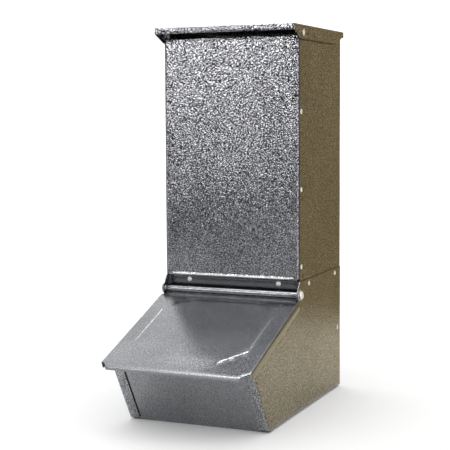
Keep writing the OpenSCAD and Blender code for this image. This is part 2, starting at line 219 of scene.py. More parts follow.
def zinc_steel():
    """Bright zinc plate: faint spangle, turning marks, with painted shade in its hollows and where a piece asks
    for it.
    """
    material, tree, shader = new_material("zinc_steel")
    place = node(tree, "ShaderNodeTexCoord").outputs["Object"]
    spangle = node(tree, "ShaderNodeTexVoronoi", {"Vector": place, "Scale": 900}).outputs["Color"]
    bloom = grain(tree, place, 260, detail=3.0)
    scratch = grain(tree, mapped(tree, place, Scale=(120, 1600, 1600)), 1.0)
    colour = blend(tree, spread(tree, bloom, 0.3, 0.7), *ZINC_PLATE)
    colour = blend(tree, 0.10, colour, spangle)
    # painted shade: darker in the hollows
    hollow_shade = spread(tree, pointiness(tree), 0.40, 0.49, 0.55, 0.0)
    colour = blend(tree, hollow_shade, colour, ZINC_HOLLOW_SHADE)
    # painted shade, where the piece's share asks for it
    colour = blend(tree, sprayed_share(tree, "thin"), colour, ZINC_PAINTED_SHADE)
    tree.links.new(colour, shader.inputs["Base Color"])
    tree.links.new(spread(tree, bloom, 0.3, 0.7, 0.34, 0.22), shader.inputs["Roughness"])
    shader.inputs["Metallic"].default_value = 0.6
    relief = node(tree, "ShaderNodeBump", {"Strength": 0.3, "Distance": 0.03 * MM, "Height": scratch})
    tree.links.new(relief.outputs["Normal"], shader.inputs["Normal"])
    return material


PAINT = hammertone_paint()
ZINC = zinc_steel()


def sprayed(piece, hammer, thin=None):
    """Writes how strongly the paint is marked, and where shade is painted on, as shares at each point."""
    points = [vert.co for vert in piece.data.vertices]
    for name, share in (("hammer", hammer), ("thin", thin)):
        values = piece.data.attributes.new(name, "FLOAT", "POINT")
        values.data.foreach_set("value", [share(point) if share else 0.0 for point in points])


def finish_piece(piece, body, slot_name, *nodes):
    """The piece rides on its body and stands for its CAD nodes."""
    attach(piece, body)
    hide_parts(*nodes)


# ---------------------------------------------------------------- sheet work

class Section:
    """A folded line: straight runs joined by round bends, by the distance along the middle of the sheet."""

    def __init__(self, start, heading, runs):
        """Each run is its straight length, and the turn and the radius of the bend after it."""
        self.parts, self.bends = [], []
        at, place = 0.0, Vector(start)
        for straight, turn, radius in runs:
            self.parts.append((at, place, heading, 0.0))
            place = place + straight * Vector((cos(heading), sin(heading)))
            at += straight
            if turn:
                curve = copysign(1 / radius, turn)
                turned = heading + turn
                self.parts.append((at, place, heading, curve))
                self.bends.append((at, at + radius * abs(turn)))
                place = place + Vector((sin(turned) - sin(heading), cos(heading) - cos(turned))) / curve
                at += radius * abs(turn)
                heading = turned
        self.length = at
        self.shift = 0.0

    @classmethod
    def through(cls, corners, radius=FOLD):
        """The section that has these corners, with a bend at each of the inner ones."""
        points = [Vector(corner) for corner in corners]
        legs = [b - a for a, b in zip(points, points[1:])]
        turns = [atan2(a.x * b.y - a.y * b.x, a.dot(b)) for a, b in zip(legs, legs[1:])] + [0.0]
        taken, runs = 0.0, []
        for leg, turn in zip(legs, turns):
            lost = radius * tan(abs(turn) / 2)
            runs.append((leg.length - taken - lost, turn, radius))
            taken = lost
        return cls(points[0], atan2(legs[0].y, legs[0].x), runs)

    def measured_on_flat(self, part=0):
        """Counts distances so that they are true places on one of the level straight runs."""
        level = [(at, place) for at, place, heading, curve in self.parts
                 if not curve and abs(sin(heading)) < 1e-6 and cos(heading) > 0]
        at, place = level[part]
        self.shift = place.x - at
        return self

    def place(self, distance):
        passed = [part for part in self.parts if part[0] <= distance - self.shift] or self.parts[:1]
        at, origin, heading, curve = passed[-1]
        run = distance - self.shift - at
        if not curve:
            return origin + run * Vector((cos(heading), sin(heading)))
        turned = heading + run * curve
        return origin + Vector((sin(turned) - sin(heading), cos(heading) - cos(turned))) / curve

    def bend_span(self, number):
        low, high = self.bends[number]
        return low + self.shift, high + self.shift

    def end(self):
        return self.length + self.shift

    def cuts(self):
        """Where the sheet is cut so that its bends come out round."""
        for low, high in self.bends:
            count = max(FOLD_CUTS, round((high - low) / FOLD * 2.2))
            for i in range(count + 1):
                yield low + self.shift + (high - low) * i / count


def step01(share):
    """A smooth step from 0 to 1."""
    share = max(0.0, min(1.0, share))
    return share * share * (3 - 2 * share)


def rounded(points, steps=4):
    """An outline in which a point (x, y, r) is a corner rounded to r."""
    out = []
    for i, point in enumerate(points):
        here = Vector(point[:2])
        if len(point) == 2:
            out.append(here)
            continue
        before, after = Vector(points[i - 1][:2]), Vector(points[(i + 1) % len(points)][:2])
        u, v = (before - here).normalized(), (after - here).normalized()
        half = acos(max(-1, min(1, u.dot(v)))) / 2
        centre = here + (u + v).normalized() * point[2] / sin(half)
        first = here + u * point[2] / tan(half) - centre
        last = here + v * point[2] / tan(half) - centre
        turn = atan2(first.x * last.y - first.y * last.x, first.dot(last))
        for k in range(steps + 1):
            out.append(centre + Matrix.Rotation(turn * k / steps, 2) @ first)
    return out


def mirrored(half):
    """The whole outline, from its half with across >= 0 that starts and ends in the middle."""
    return half + [Vector((-p.x, p.y)) for p in reversed(half) if abs(p.x) > 1e-7]


def cut(bm, at, normal, faces=None):
    """Cuts the blank along a line."""
    faces = faces or bm.faces[:]
    edges = {edge for face in faces for edge in face.edges}
    verts = {vert for face in faces for vert in face.verts}
    bmesh.ops.bisect_plane(bm, geom=[*verts, *edges, *faces], dist=SAME_POINT,
                           plane_co=(at[0], at[1], 0), plane_no=(normal[0], normal[1], 0))


def cut_across(bm, axis, at):
    """Cuts a shape in space at one place along an axis."""
    normal = [axis == i for i in range(3)]
    bmesh.ops.bisect_plane(bm, geom=[*bm.verts, *bm.edges, *bm.faces], dist=0.3 * MM,
                           plane_co=[at * n for n in normal], plane_no=normal)


def grid_lines(low, high):
    count = max(1, round((high - low) / GRID))
    return [low + (high - low) * i / count for i in range(1, count)]


def wandered(point):
    """Where the point lies in a real sheet, which is never quite flat."""
    wave = noise.noise_vector(point / WAVE_LENGTH + Vector((3.1, 7.7, 1.9))) * WAVE * 2
    near = min(min(point[i] - LOW[i], HIGH[i] - point[i]) for i in range(3))
    return point + wave * step01(near / EDGE_FADE)


def new_piece(name, bm, material):
    mesh = bpy.data.meshes.new(name)
    bm.to_mesh(mesh)
    bm.free()
    mesh.materials.append(material)
    piece = bpy.data.objects.new(name, mesh)
    bpy.context.scene.collection.objects.link(piece)
    return piece


def applied(piece):
    """The piece with its modifiers made into plain mesh."""
    seen = piece.evaluated_get(bpy.context.evaluated_depsgraph_get())
    mesh = bpy.data.meshes.new_from_object(seen)
    mesh.name = piece.name
    piece.modifiers.clear()
    piece.data = mesh
    return piece


def smooth_by_angle(piece, angle=radians(28)):
    bm = bmesh.new()
    bm.from_mesh(piece.data)
    for face in bm.faces:
        face.smooth = True
    for edge in bm.edges:
        edge.smooth = len(edge.link_faces) == 2 and edge.calc_face_angle(0) < angle
    bm.to_mesh(piece.data)
    bm.free()


def soften_rims(piece):
    """Rounds the cut edges of a sheet and shades its folds smooth."""
    edges = piece.modifiers.new("rims", "BEVEL")
    edges.limit_method = "ANGLE"
    edges.angle_limit = radians(50)
    edges.width = RIM
    edges.segments = 2
    applied(piece)
    smooth_by_angle(piece)
    return piece


def folded_piece(name, outline, across, ahead, placed, sides, relief=None, creases=None):
    """Cuts a blank to its outline, folds it, and gives it its thickness.

    across folds both sides and ahead folds the front and the rear. sides is the stretch, measured ahead, over
    which the side folds reach. placed takes the folded sheet, lying on its back at z = 0, to where it goes.
    relief lifts the flat by a height at (across, ahead), and creases makes the extra cuts that this needs.
    """
    bm = bmesh.new()
    bm.faces.new([bm.verts.new((p.x, p.y, 0)) for p in mirrored(outline)])
    reach = max(p.x for p in outline)
    for x in [*grid_lines(0, reach), *across.cuts()]:
        for side in (x, -x):
            cut(bm, (side, 0), (1, 0))
    for y in [*grid_lines(min(p.y for p in outline), max(p.y for p in outline)), *ahead.cuts()]:
        cut(bm, (0, y), (0, 1))
    if creases:
        creases(bm)
    bmesh.ops.remove_doubles(bm, verts=bm.verts, dist=0.15 * MM)
    side_line = across.bend_span(0)[0] - 0.8 * MM
    for vert in bm.verts:
        x, y = vert.co.x, vert.co.y
        if abs(x) > side_line and sides[0] - 1e-5 <= y <= sides[1] + 1e-5:
            side = across.place(abs(x))
            local = Vector((copysign(side.x, x), y, side.y))
        else:
            line = ahead.place(y)
            local = Vector((x, line.x, line.y + (relief(x, y) if relief else 0)))
        vert.co = wandered(placed @ local)
    bm.normal_update()
    piece = new_piece(name, bm, PAINT)
    wall = piece.modifiers.new("thickness", "SOLIDIFY")
    wall.thickness = SHEET - SLACK
    wall.offset = 0
    wall.use_even_offset = True
    return soften_rims(piece)


def standing(origin, right, ahead):
    """The place of a sheet whose flat lies along right and ahead."""
    right, ahead = Vector(right), Vector(ahead)
    up = right.cross(ahead)
    return Matrix.Translation(origin) @ Matrix((right, ahead, up)).transposed().to_4x4()


# ---------------------------------------------------------------- trough lid

def trough_lid():
    """The lid: rolled rear edge around the rod, raised eight-sided panel, cut front corners."""
    length, chamfer = 237.35 * MM, 16 * MM
    roll = 4.55 * MM                      # radius of the rolled edge, at the middle of the sheet
    roll_turn = radians(305)
    roll_x = HOPPER_X - 1.6 * MM          # half the rolled edge's length
    notch = 13.5 * MM                     # the sides start this far down the slope
    side_depth, front_depth = 17.05 * MM, 9.55 * MM
    panel_x, panel_rear, panel_front, panel_cut = LID_X - 24.5 * MM, 24.5 * MM, 204.36 * MM, 37 * MM
    raised, slope = 1 * MM, 3 * MM

    across = Section.through([(0, 0), (LID_X - HALF, 0), (LID_X - HALF, roll - side_depth)])
    front = Section.through([(0, 0), (length - HALF, 0), (length - HALF, roll - front_depth)])
    fold_start, fold_end = front.bends[0]
    ahead = Section((-roll * sin(roll_turn), roll - roll * cos(roll_turn)), -roll_turn, [
        (0, roll_turn, roll), (fold_start, -pi / 2, FOLD), (front.length - fold_end, 0, 0)
    ])
    ahead.shift = -roll * roll_turn                  # so that distances count from where the flat starts
    corner = LID_X + length - chamfer
    flat_x, flat_v = LID_X - FOLD_END, length - FOLD_END

    outline = rounded([
        (0, ahead.shift), (roll_x, ahead.shift, 1 * MM), (roll_x, notch, 1.5 * MM),
        (across.end(), notch, 4 * MM), (across.end(), corner - flat_x, 5 * MM), (flat_x, corner - flat_x),
        (corner - flat_v, flat_v), (corner - flat_v, ahead.end(), 1.5 * MM), (0, ahead.end())
    ])

    # the eight sides of the raised panel: a point on each, and its direction inwards
    half = sqrt(0.5)
    sides = [((panel_x, 0), (-1, 0)), ((-panel_x, 0), (1, 0)),
             ((0, panel_rear), (0, 1)), ((0, panel_front), (0, -1))]
    for x in (1, -1):
        sides.append(((x * panel_x, panel_front - panel_cut), (-x * half, -half)))
        sides.append(((x * panel_x, panel_rear + panel_cut), (-x * half, half)))

    def inside(x, y):
        return min((x - at[0]) * inward[0] + (y - at[1]) * inward[1] for at, inward in sides)

    def relief(x, y):
        return raised * step01(inside(x, y) / slope)

    def creases(bm):
        for at, inward in sides:
            for share in (0, 0.2, 0.4, 0.6, 0.8, 1):
                line = (at[0] + inward[0] * slope * share, at[1] + inward[1] * slope * share)
                near = [face for face in bm.faces
                        if -6 * MM < min(inside(v.co.x, v.co.y) for v in face.verts)
                        or -MM < inside(*face.calc_center_median()[:2]) < slope + 16 * MM]
                cut(bm, line, inward, near)

    down, up = Vector((0, -cos(LID_SLOPE), -sin(LID_SLOPE))), Vector((0, -sin(LID_SLOPE), cos(LID_SLOPE)))
    placed = standing(LID_HINGE - up * roll, (-1, 0, 0), down)
    laid_flat = placed.inverted()

    def marks(point):
        """The lid is lightly marked, and smooth along its front fold."""
        return 0.2 * step01((length - 3 * MM - (laid_flat @ point).y) / (4 * MM))

    sides_reach = notch - MM, corner - flat_x + MM
    piece = folded_piece("trough_lid_sheet", outline, across, ahead, placed, sides_reach, relief, creases)
    sprayed(piece, marks)
    finish_piece(piece, "trough_lid", "hammertone_paint", "trough_lid")


# ---------------------------------------------------------------- roof

def roof_lid():
    """The roof: fascia with a rolled-under hem, deep side flanges with sloping ends, rear lip."""
    top_z = HIGH.z - HALF
    front, rear = -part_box("roof_lid")[0].y, -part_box("roof_lid")[1].y      # measured ahead, towards the front
    fascia, flange, nose, tail = 10 * MM, 23 * MM, 30 * MM, 33 * MM
    hem, hem_back = 0.8 * MM, 4 * MM
    slit, lap = 0.5 * MM, 0.3 * MM                        # gaps that let the sides and the ends fold apart

    across = Section.through([(0, 0), (ROOF_X - HALF, 0), (ROOF_X - HALF, HALF - flange)])
    lip = fascia - HALF
    straight = front - HALF - FOLD - (rear + HALF + FOLD)
    ahead = Section((rear + HALF, -lip), pi / 2, [
        (lip - FOLD, -pi / 2, FOLD), (straight, -pi / 2, FOLD),
        (lip - FOLD - HALF - hem, -pi, hem), (hem_back, 0, 0)
    ]).measured_on_flat()
    drop = across.bend_span(0)[1] - FOLD - HALF           # where a depth below the top lies on the blank
    inner = ROOF_X - SHEET - lap
    side_x = ROOF_X - FOLD_END + HALF
    slit_x = side_x - slit
    back_y = -BACK_Y
    outline = rounded([
        (0, ahead.shift), (inner, ahead.shift, 2 * MM), (inner, rear - lap), (slit_x, rear - lap),
        (slit_x, rear + FOLD_END), (side_x, rear + FOLD_END),
        (side_x, rear), (drop + fascia, rear, 1.5 * MM), (drop + fascia, back_y + 1.5 * MM, 2 * MM),
        (drop + flange, back_y + tail, 4 * MM), (drop + flange, front - nose, 4 * MM),
        (drop + fascia, front, 2 * MM), (side_x, front),
        (side_x, front - FOLD_END), (slit_x, front - FOLD_END), (slit_x, front + lap),
        (inner, front + lap), (inner, ahead.end()), (0, ahead.end())
    ])
    placed = standing((0, 0, top_z), (-1, 0, 0), (0, -1, 0))

    def rim_cuts(bm):
        for side in (1, -1):
            for depth in (0.8, 1.8):
                cut(bm, (side * (drop + flange - depth * MM), 0), (1, 0))

    # painted shadow: the bottom strip of each side flange is painted dark, as the shadow line along its lower
    # edge
    def rim_shade(point):
        return 0.9 * step01((top_z - flange + 1.9 * MM - point.z) / (0.8 * MM))

    def marks(point):
        """Strongest at the fascia."""
        return 0.55 + 0.35 * step01(1 - point.y / (130 * MM))

    piece = folded_piece("roof_sheet", outline, across, ahead, placed, (rear, front), creases=rim_cuts)
    sprayed(piece, marks, rim_shade)
    finish_piece(piece, "roof_lid", "hammertone_paint", "roof_lid")


# ---------------------------------------------------------------- hopper front

def hopper_front():
    """The hopper's face, its folded sides, and the foot that steps back behind the lid's hinge."""
    low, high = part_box("hopper_front")
    side_x = HOPPER_X - SHEET - HALF
    flange = 18 * MM
    shelf_z = SEAM_Z + HALF
    step = FOOT_Y - FACE_Y
    across = Section.through([(0, 0), (side_x, 0), (side_x, HALF - flange)])
    ahead = Section.through([
        (low.z, -step), (shelf_z, -step), (shelf_z, 0), (high.z, 0)
    ]).measured_on_flat(1)
    flat_x = side_x - FOLD
    start_z = SEAM_Z + FOLD_END
    flange_x = across.bend_span(0)[1]
    flange_top = high.z - 4 * MM
    outline = rounded([
        (0, ahead.shift), (flat_x, ahead.shift, 1 * MM), (flat_x, start_z),
        (across.end(), start_z, 3 * MM), (across.end(), flange_top, 3 * MM),
        (flange_x + MM, flange_top), (flange_x, high.z), (0, high.z)
    ])
    placed = standing((0, FACE_Y + HALF, 0), (1, 0, 0), (0, 0, 1))

    # the face flares out to a drip edge just above its fold
    flare, flare_h, flare_end = 1 * MM, 4 * MM, 3 * MM
    fold_top, shelf_end = ahead.bend_span(1)[1], ahead.bend_span(0)[0]

    def drip(x, y):
        out = step01((fold_top + flare_h - y) / flare_h) * step01((y - shelf_end) / (fold_top - shelf_end))
        return flare * out * step01((flat_x - abs(x)) / flare_end)

    def drip_cuts(bm):
        for rise in (1, 2, 3, 4, 6, 9):
            cut(bm, (0, fold_top + rise * MM), (0, 1))

    def marks(point):
        """Strongest at the top, and smooth along the fold and below it."""
        above = (point.z - SEAM_Z) / (high.z - SEAM_Z)
        return 0.1 + (0.35 + 0.55 * above) * step01((point.z - SEAM_Z - 3.5 * MM) / (4 * MM))

    def foot_shade(point):
        """Painted shade: the foot lies in the fold's shade, so it is painted dark."""
        return 0.0 if point.z > SEAM_Z + FOLD / 2 else 0.75

    piece = folded_piece("hopper_front_sheet", outline, across, ahead, placed, (start_z, high.z),
                         drip, drip_cuts)
    sprayed(piece, marks, foot_shade)
    finish_piece(piece, "housing", "hammertone_paint", "hopper_front")


# ---------------------------------------------------------------- trough pan

def trough_pan():
    """The pan: upturned back and sides, leaning front wall, and a lip turned in and down to save feed."""
    low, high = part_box("trough_pan")
    wall, upturn, lip_run, lip_drop = BACK_Y - SHEET - HALF, 15 * MM, 11 * MM, 6 * MM
    rise = high.z - SHEET
    flat_x = HOPPER_X - FOLD_END
    taken = FOLD * tan(radians(90) / 2 + TROUGH_LEAN / 2)  # length that the top fold takes from each leg
    top_y = low.y + HALF - (taken - FOLD)                  # the top fold's corner, if it were sharp
    foot_y = top_y + rise * tan(TROUGH_LEAN)

    across = Section.through([(0, 0), (HOPPER_X - HALF, 0), (HOPPER_X - HALF, upturn - HALF)])
    ahead = Section.through([
        (-wall, upturn - HALF), (-wall, 0), (-foot_y, 0), (-top_y, rise),
        (-top_y - lip_run, rise), (-top_y - lip_run, rise - lip_drop)
    ]).measured_on_flat()
    rear, front = -(BACK_Y - 37 * MM), ahead.bend_span(1)[0] - 4.5 * MM
    outline = rounded([
        (0, ahead.shift), (flat_x, ahead.shift, 2 * MM), (flat_x, rear),
        (across.end(), rear, 3 * MM), (across.end(), front, 3 * MM), (flat_x, front),
        (flat_x, ahead.end(), 1 * MM), (0, ahead.end())
    ])
    placed = standing((0, 0, HALF), (-1, 0, 0), (0, -1, 0))
    piece = folded_piece("trough_pan_sheet", outline, across, ahead, placed, (rear, front))
    sprayed(piece, lambda point: 0.2)
    finish_piece(piece, "housing", "hammertone_paint", "trough_pan")


# ---------------------------------------------------------------- panels with drilled holes

def panel(cad_node, name, marked):
    """A copy of the frame's sheet: joined up, cut so that it wanders a little, its cut edges rounded."""
    bm = bmesh.new()
    bm.from_mesh(frame["nodes"][cad_node].data)
    bmesh.ops.remove_doubles(bm, verts=bm.verts, dist=SAME_POINT)
    bmesh.ops.dissolve_limit(bm, angle_limit=radians(0.5), verts=bm.verts, edges=bm.edges)
    low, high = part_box(cad_node)
    inset_y, inset_z = 3.4 * MM, 1.7 * MM                  # cuts along the rims, for their painted shade
    for at in grid_lines(low.x, high.x):
        if abs(at) < HOPPER_X - 6 * MM:
            cut_across(bm, 0, at)
    for at in [*grid_lines(low.y, high.y), low.y + inset_y, high.y - inset_y]:
        cut_across(bm, 1, at)
    for at in [*grid_lines(low.z, high.z), low.z + inset_z, high.z - inset_z]:
        cut_across(bm, 2, at)
    for vert in bm.verts:
        vert.co = wandered(vert.co)
    piece = new_piece(name, bm, PAINT)
    soften_rims(piece)

    def rim_shade(point):
        """Painted shade: dark bands along the cut edges and the sharp corners, for the shade at the laps and
        seams.
        """
        near_y, near_z = (min(point[i] - low[i], high[i] - point[i]) for i in (1, 2))
        return 0.75 if near_y < 2.6 * MM or near_z < 1.2 * MM else 0.0

    sprayed(piece, lambda point: marked, rim_shade)
    finish_piece(piece, "housing", "hammertone_paint", cad_node)


# ---------------------------------------------------------------- pieces grown by node trees

def new_growth(name, sockets):
    """A geometry tree with named inputs, and its input and output nodes."""
    tree = bpy.data.node_groups.new(name, "GeometryNodeTree")
    tree.interface.new_socket(name="Geometry", in_out="INPUT", socket_type="NodeSocketGeometry")
    for socket_name, kind in sockets:
        tree.interface.new_socket(name=socket_name, in_out="INPUT", socket_type="NodeSocket" + kind)
    tree.interface.new_socket(name="Geometry", in_out="OUTPUT", socket_type="NodeSocketGeometry")
    return tree, tree.nodes.new("NodeGroupInput").outputs, tree.nodes.new("NodeGroupOutput").inputs


def grown(name, seed_mesh, tree, values):
    """Runs a tree on a seed mesh with these inputs and returns the plain mesh piece."""
    piece = bpy.data.objects.new(name, seed_mesh)
    bpy.context.scene.collection.objects.link(piece)
    modifier = piece.modifiers.new("growth", "NODES")
    modifier.node_group = tree
    for socket in tree.interface.items_tree:
        if socket.in_out == "INPUT" and socket.name in values:
            modifier[socket.identifier] = values[socket.name]
    bpy.context.view_layer.update()
    return applied(piece)


def folded_sheet_tree():
    """A sheet across the feeder from its section's corners: folds rounded, drawn to width, given its wall."""
    tree, given, out = new_growth("folded_sheet", [
        ("Width", "Float"), ("Thickness", "Float"), ("Fold Radius", "Float"), ("Fold Steps", "Int"),
        ("Material", "Material")])
    line = node(tree, "GeometryNodeMeshToCurve", {"Mesh": given["Geometry"]}).outputs[0]
    folds = {"Curve": line, "Count": given["Fold Steps"], "Radius": given["Fold Radius"]}
    line = node(tree, "GeometryNodeFilletCurve", folds, mode="POLY").outputs[0]
    line = node(tree, "GeometryNodeCurveToMesh", {"Curve": line}).outputs[0]
    half = maths(tree, "MULTIPLY", given["Width"], -0.5)
    left = node(tree, "ShaderNodeCombineXYZ", {"X": half}).outputs[0]
    line = node(tree, "GeometryNodeSetPosition", {"Geometry": line, "Offset": left}).outputs[0]
    along = node(tree, "ShaderNodeCombineXYZ", {"X": given["Width"]}).outputs[0]
    face = node(tree, "GeometryNodeExtrudeMesh", {"Mesh": line, "Offset": along, "Offset Scale": 1.0},
                mode="EDGES").outputs["Mesh"]
    normal = node(tree, "GeometryNodeInputNormal").outputs[0]
    inward = maths(tree, "MULTIPLY", given["Thickness"], -0.5)
    sunk = node(tree, "ShaderNodeVectorMath", {0: normal, "Scale": inward}, operation="SCALE").outputs[0]
    face = node(tree, "GeometryNodeSetPosition", {"Geometry": face, "Offset": sunk}).outputs[0]
    wall = node(tree, "GeometryNodeExtrudeMesh", {"Mesh": face, "Offset Scale": given["Thickness"],
                                                  "Individual": False}, mode="FACES").outputs["Mesh"]
    back = node(tree, "GeometryNodeFlipFaces", {"Mesh": face}).outputs[0]
    both = node(tree, "GeometryNodeJoinGeometry")
    for part in (wall, back):
        tree.links.new(part, both.inputs[0])
    closed = node(tree, "GeometryNodeMergeByDistance", {"Geometry": both.outputs[0], "Distance": SAME_POINT})
    real = node(tree, "GeometryNodeRealizeInstances", {"Geometry": closed.outputs[0]}).outputs[0]
    done = node(tree, "GeometryNodeSetMaterial", {"Geometry": real, "Material": given["Material"]})
    tree.links.new(done.outputs[0], out["Geometry"])
    return tree


def plate(cad_node, name, corners, tree):
    """A folded plate across the inside of the hopper, from its section's corners as (y, z)."""
    low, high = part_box(cad_node)
    mesh = bpy.data.meshes.new(name)
    mesh.from_pydata([(0, y, z) for y, z in corners], [(i, i + 1) for i in range(len(corners) - 1)], [])
    piece = grown(name, mesh, tree, {"Width": high.x - low.x, "Thickness": SHEET, "Fold Radius": FOLD,
                                     "Fold Steps": 6, "Material": PAINT})
    bm = bmesh.new()
    bm.from_mesh(piece.data)
    bmesh.ops.recalc_face_normals(bm, faces=bm.faces)
    for axis in range(3):
        for at in grid_lines(low[axis], high[axis]):
            cut_across(bm, axis, at)
    for vert in bm.verts:
        vert.co = wandered(vert.co)
    bm.to_mesh(piece.data)
    bm.free()
    soften_rims(piece)
    sprayed(piece, lambda point: 0.35)
    finish_piece(piece, "housing", "hammertone_paint", cad_node)


def feed_plates():
    """The baffle that holds the feed back, and the chute that carries it forward."""
    tree = folded_sheet_tree()
    low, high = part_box("feed_baffle")
    baffle_y = low.y + HALF
    plate("feed_baffle", "feed_baffle_plate",
          [(baffle_y, high.z), (baffle_y, low.z + HALF), (high.y, low.z + HALF)], tree)
    low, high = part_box("feed_chute")
    top_y, foot_z, tab = high.y - HALF, low.z + HALF, 16 * MM
    plate("feed_chute", "feed_chute_plate",
          [(top_y, high.z), (top_y, high.z - tab), (low.y + tab, foot_z), (low.y, foot_z)], tree)


# ---------------------------------------------------------------- hardware

def turned(name, profile, steps=24):
    """A turned part, from half its section as (radius, height). One that never reaches the axis is a ring."""
    bm = bmesh.new()
    ring = profile[0][0] > 0 and profile[-1][0] > 0
    verts = [bm.verts.new((r, 0, z)) for r, z in profile]
    edges = [bm.edges.new(pair) for pair in zip(verts, verts[1:])]
    if ring:
        edges.append(bm.edges.new((verts[-1], verts[0])))
    bmesh.ops.spin(bm, geom=[*verts, *edges], cent=(0, 0, 0), axis=(0, 0, 1), angle=2 * pi, steps=steps,
                   use_merge=True)
    bmesh.ops.remove_doubles(bm, verts=bm.verts, dist=SAME_POINT)
    bmesh.ops.recalc_face_normals(bm, faces=bm.faces)
    piece = new_piece(name, bm, ZINC)
    smooth_by_angle(piece, radians(35))
    return piece


def ring_profile(inner, outer, thick, edge):
    """Half the section of a washer with broken edges."""
    return [(inner + edge, 0), (outer - edge, 0), (outer, edge), (outer, thick - edge), (outer - edge, thick),
            (inner + edge, thick), (inner, thick - edge), (inner, edge)]


def rivet_profile(shank, grip, head, rise, tail):
    """A blind rivet: tail below, domed head above z = 0 with the broken mandrel in its middle."""
    long = 2.5 * MM                       # the tail's length
    bore = shank * 0.27
    curve = (head * head + rise * rise) / (2 * rise)
    rim = 0.22 * MM

    def dome(r):
        return rise - curve + sqrt(curve * curve - r * r)

    top = [(r, dome(r)) for r in (head * (0.96 - 0.68 * i / 6) for i in range(7)) if r > bore + 0.2 * MM]
    return [
        (0, -grip - long), (tail * 0.55, -grip - long), (tail * 0.9, -grip - long * 0.75),
        (tail, -grip - long * 0.35), (tail * 0.9, -grip - 0.1 * MM), (shank / 2, -grip), (shank / 2, 0),
        (head - rim / 2, 0), (head, rim / 2), (head, rim), *top, (bore + 0.12 * MM, dome(bore) - 0.02 * MM),
        (bore, dome(bore) - 0.15 * MM), (bore, rise * 0.5), (bore * 0.6, rise * 0.56), (0, rise * 0.6)
    ]


def push_cap():
    """A domed cap pushed on the rod's end, its skirt cut into teeth that grip the washer."""
    dome_r, height, wall, skirt_r = 7 * MM, 5.5 * MM, 1.3 * MM, 8.5 * MM
    bore, edge, shoulder, teeth = 4.1 * MM, 0.3 * MM, 2 * MM, 8
    turns = [pi / 2 * i / 8 for i in range(8)]
    dome = [(dome_r * cos(turn), shoulder + (height - shoulder) * sin(turn)) for turn in turns]
    cap = turned("cap_pattern", [
        (0, height - wall), (bore, height - wall), (bore, edge), (bore + edge, 0), (skirt_r - edge, 0),
        (skirt_r, edge), (skirt_r, MM - edge), (skirt_r - edge, MM), (dome_r + 0.4 * MM, MM),
        (dome_r, 1.4 * MM), *dome, (0, height)
    ], 48)
    for vert in cap.data.vertices:
        reach = hypot(vert.co.x, vert.co.y)
        if reach > dome_r + 0.2 * MM and vert.co.z < 1.2 * MM:
            tooth = 0.5 + 0.5 * cos(teeth * atan2(vert.co.y, vert.co.x))
            pull = 1 - (reach - dome_r) / reach * 0.75 * (1 - min(1.0, 1.6 * tooth))
            vert.co.x *= pull
            vert.co.y *= pull
    return cap


def hardware_tree():
    """Sets one pattern part on every seat, facing out, each turned by chance and seated a little unevenly."""
    tree, given, out = new_growth("hardware_row", [
        ("Pattern", "Object"), ("Size", "Float"), ("Spin", "Float"), ("Tilt", "Float"), ("Seed", "Int"),
        ("Material", "Material")])
    read = node(tree, "GeometryNodeInputNamedAttribute", {"Name": "facing"}, data_type="FLOAT_VECTOR")
    facing = read.outputs[0]
    aimed = node(tree, "FunctionNodeAlignRotationToVector", {"Vector": facing}, axis="Z").outputs[0]
    lean = maths(tree, "MULTIPLY", given["Tilt"], -1.0)
    least = node(tree, "ShaderNodeCombineXYZ", {"X": lean, "Y": lean}).outputs[0]
    most = node(tree, "ShaderNodeCombineXYZ", {"X": given["Tilt"], "Y": given["Tilt"], "Z": given["Spin"]})
    chance = {"Min": least, "Max": most.outputs[0], "Seed": given["Seed"]}
    uneven = node(tree, "FunctionNodeRandomValue", chance, data_type="FLOAT_VECTOR").outputs[0]
    own = node(tree, "FunctionNodeEulerToRotation", {0: uneven}).outputs[0]
    seated = node(tree, "FunctionNodeRotateRotation", {0: aimed, 1: own}, rotation_space="LOCAL").outputs[0]
    pattern = node(tree, "GeometryNodeObjectInfo", {"Object": given["Pattern"]}).outputs["Geometry"]
    size = node(tree, "ShaderNodeCombineXYZ", {i: given["Size"] for i in range(3)}).outputs[0]
    points = node(tree, "GeometryNodeMeshToPoints", {"Mesh": given["Geometry"]}).outputs[0]
    row = node(tree, "GeometryNodeInstanceOnPoints", {
        "Points": points, "Instance": pattern, "Rotation": seated, "Scale": size}).outputs[0]
    real = node(tree, "GeometryNodeRealizeInstances", {"Geometry": row}).outputs[0]
    done = node(tree, "GeometryNodeSetMaterial", {"Geometry": real, "Material": given["Material"]})
    tree.links.new(done.outputs[0], out["Geometry"])
    return tree


def hardware(name, seats, pattern, tree, nodes, spin=2 * pi, tilt=0.0, seed=1, shade_share=None):
    """One pattern part on each seat, which is a place and the direction that it faces."""
    mesh = bpy.data.meshes.new(name)
    mesh.from_pydata([place for place, facing in seats], [], [])
    facings = mesh.attributes.new("facing", "FLOAT_VECTOR", "POINT")
    facings.data.foreach_set("vector", [x for place, facing in seats for x in facing])
    piece = grown(name, mesh, tree, {"Pattern": pattern, "Size": 1.0, "Spin": spin, "Tilt": tilt,
                                     "Seed": seed, "Material": ZINC})
    spent = piece.data.attributes.get("facing")
    if spent:
        piece.data.attributes.remove(spent)
    smooth_by_angle(piece, radians(35))
    # writes where shade is painted on the hardware
    sprayed(piece, None, shade_share)
    finish_piece(piece, "housing", "zinc_steel", *nodes)


